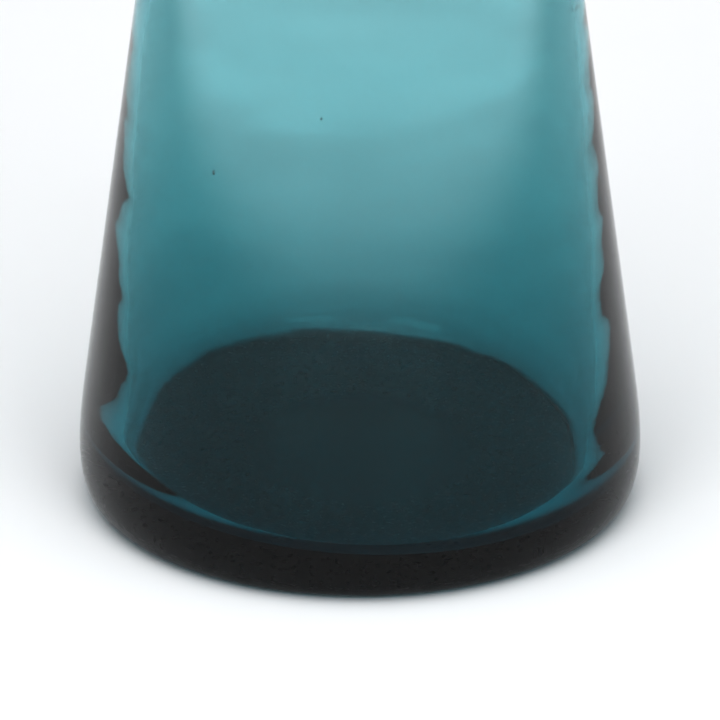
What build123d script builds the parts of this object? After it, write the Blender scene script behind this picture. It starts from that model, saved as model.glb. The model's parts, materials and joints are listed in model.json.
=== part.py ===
"""Tapered glass vase with a heavy base.

The vase is two layers of the same teal glass, fused face to face: an inner
bubble, which lines the cavity, and an outer casing, which carries the heel, the
thick base and the lip. Both are shapes turned about +Z. The origin is the centre
of the foot, on the surface that the vase stands on.
"""

import os
from math import atan2, cos, radians, sin, tan

from build123d import *

# ---------------------------------------------------------------- driving dimensions
# Lengths are in millimetres and angles in degrees.
height = 190.0          # from the table to the top of the lip
base_diameter = 88.0    # outside, where the straight taper begins above the heel
foot_diameter = 80.8    # outer edge of the flat ring that the vase stands on
heel_height = 18.7      # height at which the rounded heel runs into the taper
heel_foot_pull = 5.2    # how far the heel's curve follows the table, at the foot
heel_side_pull = 11.5   # how far the heel's curve follows the taper, at its top
neck_diameter = 40.0    # outside, where the taper ends under the lip
lip_height = 6.0        # height of the out-turned, fire-polished mouth
lip_flare = 1.6         # how far the lip stands out past the neck
lip_thickness = 2.4     # across the rounded lip
neck_wall = 1.5         # both layers, at the neck, measured level
swell_wall = 2.0        # both layers, where the wall begins to thicken
swell_top = 80.0        # the wall thickens from this height down
swell_bottom = 22.0     # the cavity's side is straight again from this height down
well_lean = 2.5         # lean of the cavity's side in its thick-walled lower part
floor_thickness = 7.1   # both layers, from the table to the cavity's floor
corner_rise = 8.0       # height of the rounding between the cavity's side and floor
corner_reach = 3.0      # how far in from the side that rounding runs
corner_pull = 0.55      # share of its rise and reach by which the rounding is drawn out
bubble_wall = 0.6       # the inner bubble's share of the wall
bubble_floor = 2.5      # the inner bubble's share of the floor
kick_diameter = 40.0    # shallow polished hollow in the middle of the underside
kick_depth = 0.6        # depth of that hollow

# ---------------------------------------------------------------- worked out from them
base_radius = base_diameter / 2
foot_radius = foot_diameter / 2
neck_radius = neck_diameter / 2
kick_radius = kick_diameter / 2
rim_radius = lip_thickness / 2
neck_height = height - lip_height
taper_angle = atan2(base_radius - neck_radius, neck_height - heel_height)
well_angle = radians(well_lean)


def along(angle, length=1):
    """A step up and inwards, on a line that leans in by angle."""
    return (-length * sin(angle), length * cos(angle))


def taper_radius(z):
    """Outside radius of the straight taper at height z."""
    return base_radius - (z - heel_height) * tan(taper_angle)


def draw_inside_face(outset, floor):
    """Draw one inside face of the vase, from under the lip down to the axis.

    outset is how far the face lies outside the cavity, and floor is the height
    of its flat bottom. Returns its top point and its point on the axis.
    """
    top = (neck_radius - neck_wall + outset, neck_height)
    swell_start = (taper_radius(swell_top) - swell_wall + outset, swell_top)
    upper_angle = atan2(swell_start[0] - top[0], neck_height - swell_top)
    swell_reach = (swell_top - swell_bottom) * tan((upper_angle + well_angle) / 2)
    swell_end = (swell_start[0] + swell_reach, swell_bottom)
    rise = corner_rise + outset
    reach = corner_reach + outset
    corner_height = floor + rise
    corner_start = (
        swell_end[0] + (swell_bottom - corner_height) * tan(well_angle),
        corner_height,
    )
    corner_end = (corner_start[0] - reach, floor)
    pull = along(well_angle, corner_pull * rise)
    bottom = (0, floor)
    Line(top, swell_start)
    TangentArc(swell_start, swell_end, tangent=along(upper_angle, -1))
    Line(swell_end, corner_start)
    Bezier(
        corner_start,
        (corner_start[0] - pull[0], corner_start[1] - pull[1]),
        (corner_end[0] + corner_pull * reach, floor),
        corner_end,
    )
    Line(corner_end, bottom)
    return top, bottom


def draw_seam():
    """The face where the two layers are fused."""
    return draw_inside_face(outset=bubble_wall, floor=floor_thickness - bubble_floor)


def draw_cavity():
    """The face that the vase's contents touch."""
    return draw_inside_face(outset=0, floor=floor_thickness)


# ---------------------------------------------------------------- inner bubble
with BuildPart() as inner_bubble:
    with BuildSketch(Plane.XZ):
        with BuildLine():
            seam_top, seam_bottom = draw_seam()
            cavity_top, cavity_bottom = draw_cavity()
            Line(seam_top, cavity_top)
            Line(seam_bottom, cavity_bottom)
        make_face()
    revolve(axis=Axis.Z)

# ---------------------------------------------------------------- outer casing
with BuildPart() as outer_casing:
    with BuildSketch(Plane.XZ):
        with BuildLine():
            seam_top, seam_bottom = draw_seam()

            # Underside: a shallow hollow, then the flat ring that the vase stands on.
            kick_centre = (0, kick_depth)
            kick_edge = (kick_radius, 0)
            foot_edge = (foot_radius, 0)
            Line(seam_bottom, kick_centre)
            TangentArc(kick_centre, kick_edge, tangent=(1, 0))
            Line(kick_edge, foot_edge)

            # Heel: leaves the foot along the table and runs into the taper.
            taper_start = (base_radius, heel_height)
            pull = along(taper_angle, heel_side_pull)
            Bezier(
                foot_edge,
                (foot_radius + heel_foot_pull, 0),
                (base_radius - pull[0], heel_height - pull[1]),
                taper_start,
            )
            neck_outside = (neck_radius, neck_height)
            Line(taper_start, neck_outside)

            # Lip: flares out, and is rounded over where the fire softened it.
            lip_radius = neck_radius + lip_flare
            lip_outside = (lip_radius, height - rim_radius)
            lip_top = (lip_radius - rim_radius, height)
            lip_inside = (lip_radius - lip_thickness, height - rim_radius)
            neck_inside = (neck_radius - neck_wall, neck_height)
            Spline(neck_outside, lip_outside, tangents=[along(taper_angle), (0, 1)])
            ThreePointArc(lip_outside, lip_top, lip_inside)
            Spline(lip_inside, neck_inside, tangents=[(0, -1), along(taper_angle, -1)])

            # Ledge under the lip, where the inner bubble ends.
            Line(neck_inside, seam_top)
        make_face()
    revolve(axis=Axis.Z)

# ---------------------------------------------------------------- labels and files
inner_bubble.part.label = "inner_bubble"
outer_casing.part.label = "outer_casing"

os.makedirs("parts", exist_ok=True)
export_step(inner_bubble.part, "parts/inner_bubble.step")
export_step(outer_casing.part, "parts/outer_casing.step")
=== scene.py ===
"""Tapered blown-glass vase with a heavy base, on a pale table in soft studio light.

Laid out as an add-on: one operator blows the vase, with the air seeds in its
wall, and one sets the table, the lights and the camera.
"""

import json
from math import atan2, cos, pi, radians, sin, tan

import bpy
from bpy.props import FloatProperty, FloatVectorProperty, IntProperty, PointerProperty
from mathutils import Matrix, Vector

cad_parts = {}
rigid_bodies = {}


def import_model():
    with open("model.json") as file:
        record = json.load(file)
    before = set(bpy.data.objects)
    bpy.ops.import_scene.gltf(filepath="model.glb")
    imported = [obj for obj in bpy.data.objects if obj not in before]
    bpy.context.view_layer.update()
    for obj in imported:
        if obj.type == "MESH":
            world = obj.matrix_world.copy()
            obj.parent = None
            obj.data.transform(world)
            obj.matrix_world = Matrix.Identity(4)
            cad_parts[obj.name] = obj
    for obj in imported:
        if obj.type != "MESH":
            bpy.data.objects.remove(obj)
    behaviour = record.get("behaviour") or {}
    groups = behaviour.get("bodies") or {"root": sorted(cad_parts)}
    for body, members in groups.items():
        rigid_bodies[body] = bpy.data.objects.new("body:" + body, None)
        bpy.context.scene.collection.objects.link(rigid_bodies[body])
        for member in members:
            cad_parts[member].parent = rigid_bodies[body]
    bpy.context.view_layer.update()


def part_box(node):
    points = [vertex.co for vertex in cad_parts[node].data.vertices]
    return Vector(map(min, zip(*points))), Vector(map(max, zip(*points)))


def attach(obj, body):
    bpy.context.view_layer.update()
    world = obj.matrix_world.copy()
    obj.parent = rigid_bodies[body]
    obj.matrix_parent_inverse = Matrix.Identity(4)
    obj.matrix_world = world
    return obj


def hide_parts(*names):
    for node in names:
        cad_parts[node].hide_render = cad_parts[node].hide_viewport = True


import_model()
CAD_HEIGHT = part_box("outer_casing")[1].z

bl_info = {
    "name": "Blown-glass vase",
    "version": (1, 0, 0),
    "blender": (4, 5, 0),
    "location": "3D View > Sidebar > Vase",
    "description": "Builds a tapered glass vase with a heavy base, and its table and lights",
    "category": "Object",
}

# Shape of the vase.
SWELL_PIECES = 3  # the long bend in the cavity's side is drawn in this many pieces
OUTLINE_RESOLUTION = 12  # steps in each curved piece of the outline
LIP_PULL = 1 / 3  # share of the lip's height by which its curves follow their ends
MERGE_DISTANCE = 1e-7  # the spun skin's first and last rows are this close, or closer
CAVITY_TURN = 0.2  # the cavity's faces turn this much to the axis, or upwards
OUTWARD_LIMIT = 0.1  # the cavity's floor turns outwards by less than this
RIPPLE_DETAIL = 2  # finer layers of ripples on top of the broad ones
SEED_ROUNDNESS = 2  # subdivisions of the ball that an air seed is stretched from

# Patterns in the materials.
MOTTLE_RANGE = (0.3, 0.7)  # the part of the noise that is spread over the whole mask
GLASS_DETAIL = 3.0  # finer layers in each pattern of the glass
SMEAR_STRETCH = (1, 1, 0.5)
# Stretch of the faint bands of painted shade in the glass's grey base colour.
SHADE_BAND_STRETCH = (1, 1, 5)
STREAK_STRETCH = (1, 1, 7)
EVEN_STRETCH = (1, 1, 1)
TABLE_ROUGHNESS = 0.85
TABLE_SHEEN = 0.2  # mirror-like share of the table's reflection, against plain paint
PAPER_SCALE = 9.0  # patches of the table's mottle in a metre
PAPER_DETAIL = 4.0
PAPER_SHADE = 0.985  # darkest patches of the table's mottle, against the palest

# Stage, in metres.
TABLE_GAP = 0.00005  # thin film of air under the foot, so that no faces coincide
TABLE_SIDES = 128  # straight edges round the table
HORIZON = (-0.04, 0.10)  # slopes between which the low room blends into the room
PANEL_PLACE = Vector((0.42, -0.78, 0.50))  # the right panel; the left one mirrors it
PANEL_SIZE = 0.45
OVERHEAD_PLACE = Vector((0, -0.8, 2.1))
OVERHEAD_SIZE = 2.8
STRAIGHT_DOWN = Vector((0, 0, -1))
SENSOR_WIDTH = 36.0  # in millimetres, as is the lens
NEAREST_SEEN = 0.01
BOUNCES = 32  # enough for light to pass both walls and the base
GLOSSY_BOUNCES = 16

# Air seeds in the wall: (bearing from +X, height, depth under the outer surface).
SEEDS = (
    (radians(-16), 0.084, 0.0010),
    (radians(-12), 0.0835, 0.0012),
    (radians(-14), 0.066, 0.0011),
    (radians(-13), 0.056, 0.0012),
    (radians(-11), 0.052, 0.0010),
    (radians(-127), 0.065, 0.0012),
    (radians(100), 0.048, 0.0013),
    (radians(170), 0.101, 0.0009),
)


# ------------------------------------------------------------------ settings


class VaseSizes(bpy.types.PropertyGroup):
    """Sizes of the vase, as turned about its upright axis."""

    height: FloatProperty(
        name="Height",
        description="From the table to the top of the lip",
        default=CAD_HEIGHT,
        unit="LENGTH",
    )
    base_diameter: FloatProperty(
        name="Base diameter",
        description="Outside, where the straight taper begins above the heel",
        default=0.0880,
        unit="LENGTH",
    )
    foot_diameter: FloatProperty(
        name="Foot diameter",
        description="Outer edge of the flat ring that the vase stands on",
        default=0.0808,
        unit="LENGTH",
    )
    heel_height: FloatProperty(
        name="Heel height",
        description="Height at which the rounded heel runs into the taper",
        default=0.0187,
        unit="LENGTH",
    )
    heel_foot_pull: FloatProperty(
        name="Heel pull at the foot",
        description="How far the heel's curve follows the table",
        default=0.0052,
        unit="LENGTH",
    )
    heel_side_pull: FloatProperty(
        name="Heel pull at the side",
        description="How far the heel's curve follows the taper",
        default=0.0115,
        unit="LENGTH",
    )
    neck_diameter: FloatProperty(
        name="Neck diameter",
        description="Outside, where the taper ends under the lip",
        default=0.0400,
        unit="LENGTH",
    )
    lip_height: FloatProperty(
        name="Lip height",
        description="Height of the out-turned, fire-polished mouth",
        default=0.0060,
        unit="LENGTH",
    )
    lip_flare: FloatProperty(
        name="Lip flare",
        description="How far the lip stands out past the neck",
        default=0.0016,
        unit="LENGTH",
    )
    lip_thickness: FloatProperty(
        name="Lip thickness",
        description="Across the rounded lip",
        default=0.0024,
        unit="LENGTH",
    )
    neck_wall: FloatProperty(
        name="Neck wall",
        description="Thickness of the wall at the neck, measured level",
        default=0.0015,
        unit="LENGTH",
    )
    swell_wall: FloatProperty(
        name="Swell wall",
        description="Thickness of the wall where it begins to thicken",
        default=0.0020,
        unit="LENGTH",
    )
    swell_top: FloatProperty(
        name="Swell top",
        description="The wall thickens from this height down",
        default=0.0800,
        unit="LENGTH",
    )
    swell_bottom: FloatProperty(
        name="Swell bottom",
        description="The cavity's side is straight again from this height down",
        default=0.0220,
        unit="LENGTH",
    )
    well_lean: FloatProperty(
        name="Well lean",
        description="Lean of the cavity's side in its thick-walled lower part",
        default=radians(2.5),
        unit="ROTATION",
    )
    floor_thickness: FloatProperty(
        name="Floor thickness",
        description="From the table to the cavity's floor",
        default=0.0071,
        unit="LENGTH",
    )
    corner_rise: FloatProperty(
        name="Corner rise",
        description="Height of the rounding between the cavity's side and its floor",
        default=0.0080,
        unit="LENGTH",
    )
    corner_reach: FloatProperty(
        name="Corner reach",
        description="How far in from the cavity's side that rounding runs",
        default=0.0030,
        unit="LENGTH",
    )
    corner_pull: FloatProperty(
        name="Corner pull",
        description="Share of its rise and reach by which the rounding is drawn out",
        default=0.55,
        unit="NONE",
    )
    kick_diameter: FloatProperty(
        name="Kick diameter",
        description="Shallow polished hollow in the middle of the underside",
        default=0.0400,
        unit="LENGTH",
    )
    kick_depth: FloatProperty(
        name="Kick depth",
        description="Depth of the hollow in the underside",
        default=0.0006,
        unit="LENGTH",
    )
    floor_shift: FloatProperty(
        name="Floor shift",
        description="How far the cavity's floor lies off the axis, from blowing by hand",
        default=0.0010,
        unit="LENGTH",
    )
    shift_reach: FloatProperty(
        name="Reach of the shift",
        description="How far from the floor its shift fades out",
        default=0.0120,
        unit="LENGTH",
    )
    side_tilt: FloatProperty(
        name="Sideways tilt",
        description="How far the cavity's floor leans down to one side",
        default=radians(2.5),
        unit="ROTATION",
    )
    front_tilt: FloatProperty(
        name="Forward tilt",
        description="How far the cavity's floor leans down to the front",
        default=radians(2.0),
        unit="ROTATION",
    )
    tilt_reach: FloatProperty(
        name="Reach of the tilt",
        description="How far above the rounded bottom its tilt fades out",
        default=0.0200,
        unit="LENGTH",
    )
    seed_radius: FloatProperty(
        name="Seed radius",
        description="Radius of an air seed shut in the glass",
        default=0.00022,
        unit="LENGTH",
    )
    seed_stretch: FloatProperty(
        name="Seed stretch",
        description="How many times taller than wide an air seed is",
        default=1.9,
        unit="NONE",
    )
    ripple_height: FloatProperty(
        name="Ripple height",
        description="Height of the soft ripples that blowing left on the cavity's side",
        default=0.00018,
        unit="LENGTH",
    )
    ripple_size: FloatProperty(
        name="Ripple size",
        description="Length of the ripples round the vase",
        default=0.0350,
        unit="LENGTH",
    )
    ripple_stretch: FloatProperty(
        name="Ripple stretch",
        description="How many times longer than high the ripples are",
        default=5.0,
        unit="NONE",
    )
    ring_length: FloatProperty(
        name="Ring spacing",
        description="Longest step along the outline before it is spun",
        default=0.0022,
        unit="LENGTH",
    )
    spin_steps: IntProperty(
        name="Spin steps",
        description="Faces round the vase",
        default=224,
        min=24,
    )


class GlassFinish(bpy.types.PropertyGroup):
    """Colour and surface of the glass."""

    depth: FloatProperty(
        name="Depth of colour",
        description="Absorption of the strongest absorbed colour, per metre of glass",
        default=290.0,
        unit="NONE",
    )
    passed: FloatVectorProperty(
        name="Passed colour",
        description="Share of each colour that the glass doesn't absorb",
        subtype="COLOR",
        size=3,
        min=0.0,
        max=1.0,
        default=(0.0, 0.693, 0.741),
    )
    # The glass's grey base colour is painted shade: it darkens the glass for the vase's shadow
    # on the table behind it, in faint bands.
    shade_band_scale: FloatProperty(
        name="Haze scale",
        description="How many grey bands lie in a metre round the vase; five times more up it",
        default=12.0,
        unit="NONE",
    )
    # Darkest and palest painted shade, as the glass's grey base colour.
    painted_shade_low: FloatProperty(
        name="Darkest haze",
        description="Grey of the darkest bands, as the glass's base colour",
        default=0.785,
        unit="NONE",
    )
    painted_shade_high: FloatProperty(
        name="Palest haze",
        description="Grey of the palest bands, as the glass's base colour",
        default=0.865,
        unit="NONE",
    )
    smear_scale: FloatProperty(
        name="Smear scale",
        description="How many smears lie in a metre round the vase; half as many lie up it",
        default=40.0,
        unit="NONE",
    )
    smear_roughness: FloatProperty(
        name="Smear roughness",
        description="Roughness of the strongest smears",
        default=0.02,
        unit="NONE",
    )
    scuff_scale: FloatProperty(
        name="Scuff scale",
        description="How many scuffs lie in a metre of the foot",
        default=900.0,
        unit="NONE",
    )
    scuff_roughness: FloatProperty(
        name="Scuff roughness",
        description="Roughness that the strongest scuffs add to the foot",
        default=0.35,
        unit="NONE",
    )
    worn_height: FloatProperty(
        name="Worn height",
        description="Height above the table up to which the foot is scuffed",
        default=0.0004,
        unit="LENGTH",
    )
    streak_scale: FloatProperty(
        name="Streak scale",
        description="How many streaks lie in a metre round the vase; seven times more lie up it",
        default=30.0,
        unit="NONE",
    )
    streak_height: FloatProperty(
        name="Streak height",
        description="How far the fine blowing streaks stand out from the glass",
        default=0.000005,
        unit="LENGTH",
    )
    ior: FloatProperty(
        name="IOR",
        description="Refractive index of soda glass",
        default=1.50,
        unit="NONE",
    )


class StageLook(bpy.types.PropertyGroup):
    """Table, lights and camera."""

    table_radius: FloatProperty(
        name="Table radius",
        description="Radius of the round pale table",
        default=4.0,
        unit="LENGTH",
    )
    table_colour: FloatVectorProperty(
        name="Table colour",
        description="Colour of the pale table",
        subtype="COLOR",
        size=3,
        min=0.0,
        max=1.0,
        default=(0.92, 0.925, 0.93),
    )
    # Painted light: the table glows though it is no lamp; these set that glow and the patch
    # round and behind the vase where it is left out.
    table_glow: FloatProperty(
        name="Table glow",
        description="Light that the table gives off, away from the vase",
        default=2.1,
        unit="NONE",
    )
    glow_centre: FloatProperty(
        name="Glow centre",
        description="How far behind the vase the middle of the unlit patch lies",
        default=0.40,
        unit="LENGTH",
    )
    glow_narrowing: FloatProperty(
        name="Glow narrowing",
        description="How many times narrower than deep the unlit patch is",
        default=1.60,
        unit="NONE",
    )
    glow_start: FloatProperty(
        name="Glow start",
        description="Distance from the glow centre at which the table's glow begins",
        default=0.74,
        unit="LENGTH",
    )
    glow_full: FloatProperty(
        name="Glow full",
        description="Distance from the glow centre at which the table's glow is full",
        default=1.12,
        unit="LENGTH",
    )
    room_colour: FloatVectorProperty(
        name="Room colour",
        description="Colour of the pale surroundings",
        subtype="COLOR",
        size=3,
        min=0.0,
        max=1.0,
        default=(0.97, 0.98, 1.0),
    )
    room_strength: FloatProperty(
        name="Room strength",
        description="Brightness of the pale surroundings, above the horizon",
        default=0.55,
        unit="NONE",
    )
    low_room_strength: FloatProperty(
        name="Low room strength",
        description="Brightness of the pale surroundings, below the horizon",
        default=1.0,
        unit="NONE",
    )
    panel_power: FloatProperty(
        name="Panel power",
        description="Power of each soft panel light",
        default=2.0,
        unit="POWER",
    )
    overhead_power: FloatProperty(
        name="Overhead power",
        description="Power of the broad soft light above the table",
        default=37.0,
        unit="POWER",
    )
    contrast: FloatProperty(
        name="Contrast",
        description="Contrast of the finished picture",
        default=1.5,
        unit="NONE",
    )
    camera_elevation: FloatProperty(
        name="Camera elevation",
        description="Angle above the table at which the foot is seen",
        default=radians(25.0),
        unit="ROTATION",
    )
    camera_distance: FloatProperty(
        name="Camera distance",
        description="From the camera to the middle of the foot",
        default=0.80,
        unit="LENGTH",
    )
    camera_width: FloatProperty(
        name="Width in view",
        description="Width that the camera takes in at the vase",
        default=0.1161,
        unit="LENGTH",
    )
    camera_rise: FloatProperty(
        name="Aim above the foot",
        description="How far above the middle of the foot the camera looks",
        default=0.0197,
        unit="LENGTH",
    )


# ------------------------------------------------------------------ helpers


def deselect_all():
    """Leave edit mode and select nothing."""
    if bpy.context.object and bpy.context.object.mode != "OBJECT":
        bpy.ops.object.mode_set(mode="OBJECT")
    bpy.ops.object.select_all(action="DESELECT")


def only(piece):
    """Make a piece the one that is selected and active."""
    deselect_all()
    piece.select_set(True)
    bpy.context.view_layer.objects.active = piece


def select_vertices(piece, wanted):
    """In object mode, select exactly the vertices that pass a test."""
    mesh = piece.data
    for polygon in mesh.polygons:
        polygon.select = False
    for edge in mesh.edges:
        edge.select = False
    for vertex in mesh.vertices:
        vertex.select = wanted(vertex)


def on_cavity(vertex):
    """Whether a vertex of the finished skin lies on the cavity's side or floor."""
    outwards = Vector((vertex.co.x, vertex.co.y, 0)).normalized()
    turn = vertex.normal.dot(outwards)
    faces_up = vertex.normal.z > CAVITY_TURN and vertex.co.z < CAD_HEIGHT / 2
    return turn < -CAVITY_TURN or (faces_up and turn < OUTWARD_LIMIT)


# ------------------------------------------------------------------ outline of the vase


def arc_handle(turn, radius):
    """Length of the handles that make a Bezier segment follow an arc."""
    return 4 / 3 * tan(turn / 4) * radius


def arc_points(start, lean, turn, radius, pieces):
    """Outline points down a long bend, which starts at start with that lean."""
    handle = arc_handle(turn / pieces, radius)
    points = []
    for step in range(pieces + 1):
        angle = lean - turn * step / pieces
        side = Vector((-sin(angle), cos(angle)))
        place = start + radius * Vector((cos(angle) - cos(lean), sin(angle) - sin(lean)))
        before = None if step == 0 else place + side * handle
        after = None if step == pieces else place - side * handle
        points.append((place, before, after))
    return points


def vase_outline(size):
    """Points of the vase's outline from the underside, up, over the lip and down inside.

    Each point is (place, handle before, handle after) in (radius, height). A
    handle of None means that the outline is straight on that side.
    """
    base = size.base_diameter / 2
    foot = size.foot_diameter / 2
    neck = size.neck_diameter / 2
    kick = size.kick_diameter / 2
    lip = neck + size.lip_flare
    rim = size.lip_thickness / 2
    floor = size.floor_thickness
    well = size.well_lean
    neck_height = size.height - size.lip_height
    lean = atan2(base - neck, neck_height - size.heel_height)
    right = Vector((1, 0))
    up = Vector((0, 1))
    taper = Vector((-sin(lean), cos(lean)))

    # Underside, heel and taper.
    kick_turn = 2 * atan2(size.kick_depth, kick)
    kick_handle = arc_handle(kick_turn, kick / sin(kick_turn))
    kick_centre = Vector((0, size.kick_depth))
    kick_edge = Vector((kick, 0))
    kick_slope = Vector((-cos(kick_turn), sin(kick_turn)))
    foot_edge = Vector((foot, 0))
    taper_start = Vector((base, size.heel_height))
    neck_outside = Vector((neck, neck_height))

    # Lip.
    lip_reach = (size.lip_height - rim) * LIP_PULL
    rim_handle = arc_handle(pi / 2, rim)
    lip_outside = Vector((lip, size.height - rim))
    lip_top = Vector((lip - rim, size.height))
    lip_inside = Vector((lip - size.lip_thickness, size.height - rim))
    neck_inside = Vector((neck - size.neck_wall, neck_height))

    # Cavity: a straight upper side, a bend, and a steeper well with a rounded floor.
    swell_radius = base - (size.swell_top - size.heel_height) * tan(lean) - size.swell_wall
    swell_start = Vector((swell_radius, size.swell_top))
    upper = atan2(swell_start.x - neck_inside.x, neck_height - size.swell_top)
    swell_bend = (size.swell_top - size.swell_bottom) / (sin(upper) - sin(well))
    swell = arc_points(swell_start, upper, upper - well, swell_bend, SWELL_PIECES)
    swell_end = swell[-1][0]
    well_side = Vector((-sin(well), cos(well)))
    corner_height = floor + size.corner_rise
    well_radius = swell_end.x + (size.swell_bottom - corner_height) * tan(well)
    corner_start = Vector((well_radius, corner_height))
    corner_end = Vector((well_radius - size.corner_reach, floor))
    corner_side = size.corner_pull * size.corner_rise
    corner_foot = size.corner_pull * size.corner_reach

    return [
        (kick_centre, None, kick_centre + right * kick_handle),
        (kick_edge, kick_edge + kick_slope * kick_handle, None),
        (foot_edge, None, foot_edge + right * size.heel_foot_pull),
        (taper_start, taper_start - taper * size.heel_side_pull, None),
        (neck_outside, None, neck_outside + taper * lip_reach),
        (lip_outside, lip_outside - up * lip_reach, lip_outside + up * rim_handle),
        (lip_top, lip_top + right * rim_handle, lip_top - right * rim_handle),
        (lip_inside, lip_inside + up * rim_handle, lip_inside - up * lip_reach),
        (neck_inside, neck_inside + taper * lip_reach, None),
        *swell,
        (corner_start, None, corner_start - well_side * corner_side),
        (corner_end, corner_end + right * corner_foot, None),
        (Vector((0, floor)), None, None),
    ]


def outside_radius(size, height):
    """Outside radius of the straight taper at a height."""
    neck_height = size.height - size.lip_height
    rise = (height - size.heel_height) / (neck_height - size.heel_height)
    return size.base_diameter / 2 + rise * (size.neck_diameter - size.base_diameter) / 2


def draw_outline(name, points, resolution):
    """Draw the outline as one Bezier curve in the XZ plane and make it a wire mesh."""
    deselect_all()
    bpy.ops.curve.primitive_bezier_curve_add()
    outline = bpy.context.object
    outline.name = name
    curve = outline.data
    curve.dimensions = "3D"
    curve.resolution_u = resolution
    spline = curve.splines[0]
    spline.bezier_points.add(len(points) - len(spline.bezier_points))
    for point, (place, before, after) in zip(spline.bezier_points, points):
        point.handle_left_type = "VECTOR" if before is None else "FREE"
        point.handle_right_type = "VECTOR" if after is None else "FREE"
        point.co = (place.x, 0, place.y)
        if before is not None:
            point.handle_left = (before.x, 0, before.y)
        if after is not None:
            point.handle_right = (after.x, 0, after.y)
    bpy.ops.object.convert(target="MESH")
    return bpy.context.object


def edge_lengths(mesh):
    """Length of each edge, in the order of the mesh's edges."""
    return [
        (mesh.vertices[a].co - mesh.vertices[b].co).length
        for a, b in (edge.vertices for edge in mesh.edges)
    ]


def shorten_steps(piece, longest):
    """Cut each long edge of the wire into steps no longer than asked."""
    only(piece)
    mesh = piece.data
    lengths = edge_lengths(mesh)
    while max(lengths) > longest:
        for vertex in mesh.vertices:
            vertex.select = False
        for edge, length in zip(mesh.edges, lengths):
            edge.select = length > longest
        bpy.ops.object.mode_set(mode="EDIT")
        bpy.ops.mesh.select_mode(type="EDGE")
        bpy.ops.mesh.subdivide(number_cuts=1)
        bpy.ops.object.mode_set(mode="OBJECT")
        lengths = edge_lengths(mesh)


def spin_outline(piece, steps):
    """Turn the wire about the upright axis into a closed skin."""
    only(piece)
    bpy.ops.object.mode_set(mode="EDIT")
    bpy.ops.mesh.select_all(action="SELECT")
    bpy.ops.mesh.spin(
        steps=steps,
        angle=2 * pi,
        center=(0, 0, 0),
        axis=(0, 0, 1),
        use_auto_merge=True,
    )
    bpy.ops.mesh.select_all(action="SELECT")
    bpy.ops.mesh.remove_doubles(threshold=MERGE_DISTANCE)
    bpy.ops.mesh.normals_make_consistent(inside=False)
    bpy.ops.object.mode_set(mode="OBJECT")
    bpy.ops.object.shade_smooth()


def lean_well(piece, size):
    """Tilt and shift the cavity's rounded bottom, as blown by hand.

    The tilt fades out up the cavity's side, and the shift across its rounding.
    """
    corner_top = size.floor_thickness + size.corner_rise
    fading = {
        "use_proportional_edit": True,
        "use_proportional_connected": True,
        "proportional_edit_falloff": "SMOOTH",
    }
    only(piece)
    select_vertices(piece, lambda v: on_cavity(v) and v.co.z < corner_top)
    bpy.ops.object.mode_set(mode="EDIT")
    bpy.ops.mesh.select_mode(type="VERT")
    for axis, tilt in (("Y", size.side_tilt), ("X", size.front_tilt)):
        bpy.ops.transform.rotate(
            value=-tilt,
            orient_axis=axis,
            center_override=(0, 0, corner_top),
            proportional_size=size.tilt_reach,
            **fading,
        )
    bpy.ops.object.mode_set(mode="OBJECT")

    # The middle of the floor, half as wide as the base, is flat for certain.
    flat_radius = size.base_diameter / 4
    select_vertices(
        piece,
        lambda v: on_cavity(v) and v.co.z < corner_top and v.co.xy.length < flat_radius,
    )
    bpy.ops.object.mode_set(mode="EDIT")
    bpy.ops.mesh.select_more()
    bpy.ops.transform.translate(
        value=(size.floor_shift, 0, 0), proportional_size=size.shift_reach, **fading
    )
    bpy.ops.object.mode_set(mode="OBJECT")


def ripple_cavity(piece, size):
    """Raise soft ripples, longer round the vase than up it, on the cavity's side."""
    only(piece)
    side = piece.vertex_groups.new(name="cavity_side")
    low = size.floor_thickness + size.corner_rise
    high = size.height - size.lip_height
    for vertex in piece.data.vertices:
        if on_cavity(vertex) and low < vertex.co.z < high:
            fade = min(vertex.co.z - low, high - vertex.co.z, size.tilt_reach)
            side.add([vertex.index], fade / size.tilt_reach, "REPLACE")

    bpy.ops.object.empty_add(location=(0, 0, 0))
    stretch = bpy.context.object
    stretch.scale = (1, 1, 1 / size.ripple_stretch)
    clouds = bpy.data.textures.new("ripples", "CLOUDS")
    clouds.noise_scale = size.ripple_size
    clouds.noise_depth = RIPPLE_DETAIL
    only(piece)
    ripple = piece.modifiers.new("ripple", "DISPLACE")
    ripple.texture = clouds
    ripple.texture_coords = "OBJECT"
    ripple.texture_coords_object = stretch
    ripple.vertex_group = side.name
    ripple.strength = size.ripple_height
    ripple.mid_level = 0.5
    bpy.context.view_layer.update()
    bpy.ops.object.modifier_apply(modifier=ripple.name)
    bpy.data.objects.remove(stretch)
    piece.vertex_groups.clear()


def add_seeds(piece, size):
    """Shut small upright air bubbles into the glass, as voids that face inwards."""
    for bearing, height, depth in SEEDS:
        radius = outside_radius(size, height) - depth
        deselect_all()
        bpy.ops.mesh.primitive_ico_sphere_add(
            subdivisions=SEED_ROUNDNESS, radius=size.seed_radius, enter_editmode=True
        )
        bpy.ops.transform.resize(value=(1, 1, size.seed_stretch))
        bpy.ops.transform.translate(
            value=(radius * cos(bearing), radius * sin(bearing), height)
        )
        bpy.ops.mesh.flip_normals()
        bpy.ops.object.mode_set(mode="OBJECT")
        seed = bpy.context.object
        bpy.ops.object.shade_smooth()
        only(piece)
        seed.select_set(True)
        bpy.ops.object.join()


# ------------------------------------------------------------------ materials


def new_material(name):
    """An empty node material with its output and a Principled shader."""
    material = bpy.data.materials.new(name)
    material.use_nodes = True
    nodes = material.node_tree.nodes
    nodes.clear()
    output = nodes.new("ShaderNodeOutputMaterial")
    shader = nodes.new("ShaderNodeBsdfPrincipled")
    material.node_tree.links.new(shader.outputs["BSDF"], output.inputs["Surface"])
    return material, shader, output


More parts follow.
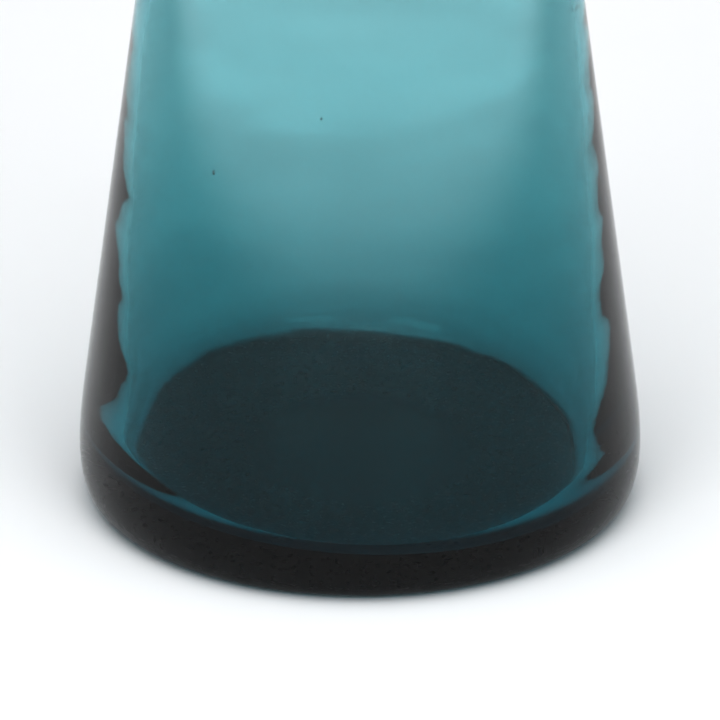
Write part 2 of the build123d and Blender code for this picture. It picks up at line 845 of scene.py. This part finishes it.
def mottle_group():
    """A soft cloudy mask, stretched along one axis, shared by glass and table."""
    group = bpy.data.node_groups.new("Soft mottle", "ShaderNodeTree")
    face = group.interface
    face.new_socket("Vector", in_out="INPUT", socket_type="NodeSocketVector")
    for name in ("Scale", "Detail", "Low", "High"):
        face.new_socket(name, in_out="INPUT", socket_type="NodeSocketFloat")
    face.new_socket("Value", in_out="OUTPUT", socket_type="NodeSocketFloat")
    nodes, link = group.nodes, group.links.new
    inside = nodes.new("NodeGroupInput")
    outside = nodes.new("NodeGroupOutput")
    noise = nodes.new("ShaderNodeTexNoise")
    spread = nodes.new("ShaderNodeMapRange")
    spread.inputs["From Min"].default_value = MOTTLE_RANGE[0]
    spread.inputs["From Max"].default_value = MOTTLE_RANGE[1]
    link(inside.outputs["Vector"], noise.inputs["Vector"])
    link(inside.outputs["Scale"], noise.inputs["Scale"])
    link(inside.outputs["Detail"], noise.inputs["Detail"])
    link(noise.outputs["Fac"], spread.inputs["Value"])
    link(inside.outputs["Low"], spread.inputs["To Min"])
    link(inside.outputs["High"], spread.inputs["To Max"])
    link(spread.outputs["Result"], outside.inputs["Value"])
    return group


def place_mottle(material, scale, detail, low, high, stretch):
    """Place the mottle group in a material on Object coordinates."""
    nodes, link = material.node_tree.nodes, material.node_tree.links.new
    coordinates = nodes.new("ShaderNodeTexCoord")
    mapping = nodes.new("ShaderNodeMapping")
    mapping.inputs["Scale"].default_value = stretch
    mottle = nodes.new("ShaderNodeGroup")
    mottle.node_tree = bpy.data.node_groups.get("Soft mottle") or mottle_group()
    mottle.inputs["Scale"].default_value = scale
    mottle.inputs["Detail"].default_value = detail
    mottle.inputs["Low"].default_value = low
    mottle.inputs["High"].default_value = high
    link(coordinates.outputs["Object"], mapping.inputs["Vector"])
    link(mapping.outputs["Vector"], mottle.inputs["Vector"])
    return mottle


def glass_material(finish):
    """Teal glass, coloured all through and dimmed by a painted shade, with smears, fine streaks
    and a scuffed foot.
    """
    material, shader, output = new_material("teal_glass")
    nodes, link = material.node_tree.nodes, material.node_tree.links.new
    shader.inputs["IOR"].default_value = finish.ior
    shader.inputs["Transmission Weight"].default_value = 1.0
    absorption = nodes.new("ShaderNodeVolumeAbsorption")
    absorption.inputs["Density"].default_value = finish.depth
    absorption.inputs["Color"].default_value = (*finish.passed, 1)
    link(absorption.outputs["Volume"], output.inputs["Volume"])

    # Painted shade: a grey base colour darkens the glass all over, in faint level bands,
    # standing in for the vase's shadow on the table behind it.
    painted_shade = place_mottle(
        material,
        finish.shade_band_scale,
        GLASS_DETAIL,
        finish.painted_shade_low,
        finish.painted_shade_high,
        SHADE_BAND_STRETCH,
    )
    tint = nodes.new("ShaderNodeCombineColor")
    for channel in ("Red", "Green", "Blue"):
        link(painted_shade.outputs["Value"], tint.inputs[channel])
    link(tint.outputs["Color"], shader.inputs["Base Color"])

    # Smears all over, and scuffs where the foot has worn on tables.
    smears = place_mottle(
        material, finish.smear_scale, GLASS_DETAIL, 0.0, finish.smear_roughness, SMEAR_STRETCH
    )
    scuffs = place_mottle(
        material, finish.scuff_scale, GLASS_DETAIL, 0.0, finish.scuff_roughness, EVEN_STRETCH
    )
    coordinates = nodes.new("ShaderNodeTexCoord")
    split = nodes.new("ShaderNodeSeparateXYZ")
    worn = nodes.new("ShaderNodeMapRange")
    worn.interpolation_type = "SMOOTHSTEP"
    worn.inputs["From Min"].default_value = finish.worn_height
    worn.inputs["From Max"].default_value = 0.0
    worn_scuffs = nodes.new("ShaderNodeMath")
    worn_scuffs.operation = "MULTIPLY_ADD"
    link(coordinates.outputs["Object"], split.inputs["Vector"])
    link(split.outputs["Z"], worn.inputs["Value"])
    link(worn.outputs["Result"], worn_scuffs.inputs[0])
    link(scuffs.outputs["Value"], worn_scuffs.inputs[1])
    link(smears.outputs["Value"], worn_scuffs.inputs[2])
    link(worn_scuffs.outputs["Value"], shader.inputs["Roughness"])

    streaks = place_mottle(
        material, finish.streak_scale, GLASS_DETAIL, 0.0, 1.0, STREAK_STRETCH
    )
    bump = nodes.new("ShaderNodeBump")
    bump.inputs["Strength"].default_value = 1.0
    bump.inputs["Distance"].default_value = finish.streak_height
    link(streaks.outputs["Value"], bump.inputs["Height"])
    link(bump.outputs["Normal"], shader.inputs["Normal"])
    return material


def table_material(look):
    """Smooth pale paper, very slightly mottled, with painted light: it glows away from the vase.
    """
    material, shader, _ = new_material("pale_table")
    nodes, link = material.node_tree.nodes, material.node_tree.links.new
    mottle = place_mottle(
        material, PAPER_SCALE, PAPER_DETAIL, PAPER_SHADE, 1.0, EVEN_STRETCH
    )
    tint = nodes.new("ShaderNodeMix")
    tint.data_type = "RGBA"
    tint.blend_type = "MULTIPLY"
    tint.inputs["Factor"].default_value = 1.0
    tint.inputs["A"].default_value = (*look.table_colour, 1)
    link(mottle.outputs["Value"], tint.inputs["B"])
    link(tint.outputs["Result"], shader.inputs["Base Color"])
    shader.inputs["Roughness"].default_value = TABLE_ROUGHNESS
    shader.inputs["Specular IOR Level"].default_value = TABLE_SHEEN

    # Painted light: the table's glow stands in for a brightly lit table and room, and is left
    # out of a patch round and behind the vase.
    place = nodes.new("ShaderNodeTexCoord")
    spread = nodes.new("ShaderNodeVectorMath")
    spread.operation = "MULTIPLY_ADD"
    spread.inputs[1].default_value = (look.glow_narrowing, 1, 1)
    spread.inputs[2].default_value = (0, -look.glow_centre, 0)
    distance = nodes.new("ShaderNodeVectorMath")
    distance.operation = "LENGTH"
    glow = nodes.new("ShaderNodeMapRange")
    glow.interpolation_type = "SMOOTHSTEP"
    glow.inputs["From Min"].default_value = look.glow_start
    glow.inputs["From Max"].default_value = look.glow_full
    glow.inputs["To Max"].default_value = look.table_glow
    link(place.outputs["Object"], spread.inputs[0])
    link(spread.outputs["Vector"], distance.inputs[0])
    link(distance.outputs["Value"], glow.inputs["Value"])
    link(glow.outputs["Result"], shader.inputs["Emission Strength"])
    shader.inputs["Emission Color"].default_value = (*look.room_colour, 1)
    return material


# ------------------------------------------------------------------ operators


class VASE_OT_blow_body(bpy.types.Operator):
    """Blow the vase: draw its outline, spin it and give it its glass"""

    bl_idname = "vase.blow_body"
    bl_label = "Blow the vase"

    def execute(self, context):
        size = context.scene.vase_sizes
        finish = context.scene.vase_glass
        body = draw_outline("glass_body", vase_outline(size), OUTLINE_RESOLUTION)
        shorten_steps(body, size.ring_length)
        spin_outline(body, size.spin_steps)
        lean_well(body, size)
        ripple_cavity(body, size)
        add_seeds(body, size)
        body.data.materials.append(glass_material(finish))
        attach(body, "root")
        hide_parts("inner_bubble", "outer_casing")
        return {"FINISHED"}


class VASE_OT_set_stage(bpy.types.Operator):
    """Lay the pale table, set the soft lights and place the camera"""

    bl_idname = "vase.set_stage"
    bl_label = "Set the stage"

    def execute(self, context):
        look = context.scene.vase_stage
        self.lay_table(look)
        self.light_room(context.scene, look)
        self.place_panels(look)
        self.place_camera(context.scene, look)
        self.set_picture(context.scene, look)
        return {"FINISHED"}

    def lay_table(self, look):
        deselect_all()
        bpy.ops.mesh.primitive_circle_add(
            vertices=TABLE_SIDES,
            radius=look.table_radius,
            fill_type="NGON",
            location=(0, 0, -TABLE_GAP),
        )
        table = bpy.context.object
        table.name = "table"
        table.data.materials.append(table_material(look))

    def light_room(self, scene, look):
        world = bpy.data.worlds.new("pale_room")
        world.use_nodes = True
        background = world.node_tree.nodes["Background"]
        background.inputs["Color"].default_value = (*look.room_colour, 1)
        nodes, link = world.node_tree.nodes, world.node_tree.links.new
        direction = nodes.new("ShaderNodeTexCoord")
        parts = nodes.new("ShaderNodeSeparateXYZ")
        height = nodes.new("ShaderNodeMapRange")
        height.interpolation_type = "SMOOTHSTEP"
        height.inputs["From Min"].default_value = HORIZON[0]
        height.inputs["From Max"].default_value = HORIZON[1]
        height.inputs["To Min"].default_value = look.low_room_strength
        height.inputs["To Max"].default_value = look.room_strength
        link(direction.outputs["Generated"], parts.inputs["Vector"])
        link(parts.outputs["Z"], height.inputs["Value"])
        link(height.outputs["Result"], background.inputs["Strength"])
        scene.world = world

    def place_panels(self, look):
        """Two low soft panels in front, with a gap between them, and a broad one high up."""
        for name, side in (("panel_left", -1), ("panel_right", 1)):
            place = Vector((PANEL_PLACE.x * side, PANEL_PLACE.y, PANEL_PLACE.z))
            panel = self.add_light(name, place, -place, look.panel_power)
            panel.shape = "RECTANGLE"
            panel.size = PANEL_SIZE
            panel.size_y = PANEL_SIZE
        overhead = self.add_light(
            "overhead", OVERHEAD_PLACE, STRAIGHT_DOWN, look.overhead_power
        )
        overhead.shape = "DISK"
        overhead.size = OVERHEAD_SIZE

    def add_light(self, name, place, aim, power):
        """An area light that shines along aim and that the camera doesn't see."""
        bpy.ops.object.light_add(type="AREA", location=place)
        light = bpy.context.object
        light.name = name
        light.rotation_euler = aim.to_track_quat("-Z", "Y").to_euler()
        light.visible_camera = False
        light.data.energy = power
        return light.data

    def place_camera(self, scene, look):
        distance = look.camera_distance
        elevation = look.camera_elevation
        tilt_up = atan2(look.camera_rise, distance)
        bpy.ops.object.camera_add(
            location=(0, -distance * cos(elevation), distance * sin(elevation)),
            rotation=(pi / 2 - elevation + tilt_up, 0, 0),
        )
        camera = bpy.context.object
        camera.name = "camera"
        camera.data.sensor_width = SENSOR_WIDTH
        camera.data.lens = SENSOR_WIDTH * distance / look.camera_width
        camera.data.clip_start = NEAREST_SEEN
        scene.camera = camera

    def set_picture(self, scene, look):
        """Plain display with more contrast, and enough bounces for thick glass."""
        scene.view_settings.view_transform = "Standard"
        scene.view_settings.gamma = 1 / look.contrast
        scene.cycles.max_bounces = BOUNCES
        scene.cycles.transmission_bounces = BOUNCES
        scene.cycles.glossy_bounces = GLOSSY_BOUNCES


class VASE_PT_panel(bpy.types.Panel):
    """Lists the steps that build the vase"""

    bl_idname = "VASE_PT_panel"
    bl_label = "Blown-glass vase"
    bl_space_type = "VIEW_3D"
    bl_region_type = "UI"
    bl_category = "Vase"

    def draw(self, context):
        for operator in STEPS:
            self.layout.operator(operator.bl_idname)


SETTINGS = {"vase_sizes": VaseSizes, "vase_glass": GlassFinish, "vase_stage": StageLook}
STEPS = (VASE_OT_blow_body, VASE_OT_set_stage)


def register():
    for made in (*SETTINGS.values(), *STEPS, VASE_PT_panel):
        bpy.utils.register_class(made)
    for name, group in SETTINGS.items():
        setattr(bpy.types.Scene, name, PointerProperty(type=group))


def unregister():
    for name in SETTINGS:
        delattr(bpy.types.Scene, name)
    for made in (VASE_PT_panel, *reversed(STEPS), *reversed(SETTINGS.values())):
        bpy.utils.unregister_class(made)


def main():
    register()
    bpy.ops.vase.blow_body()
    bpy.ops.vase.set_stage()


if __name__ == "__main__":
    main()
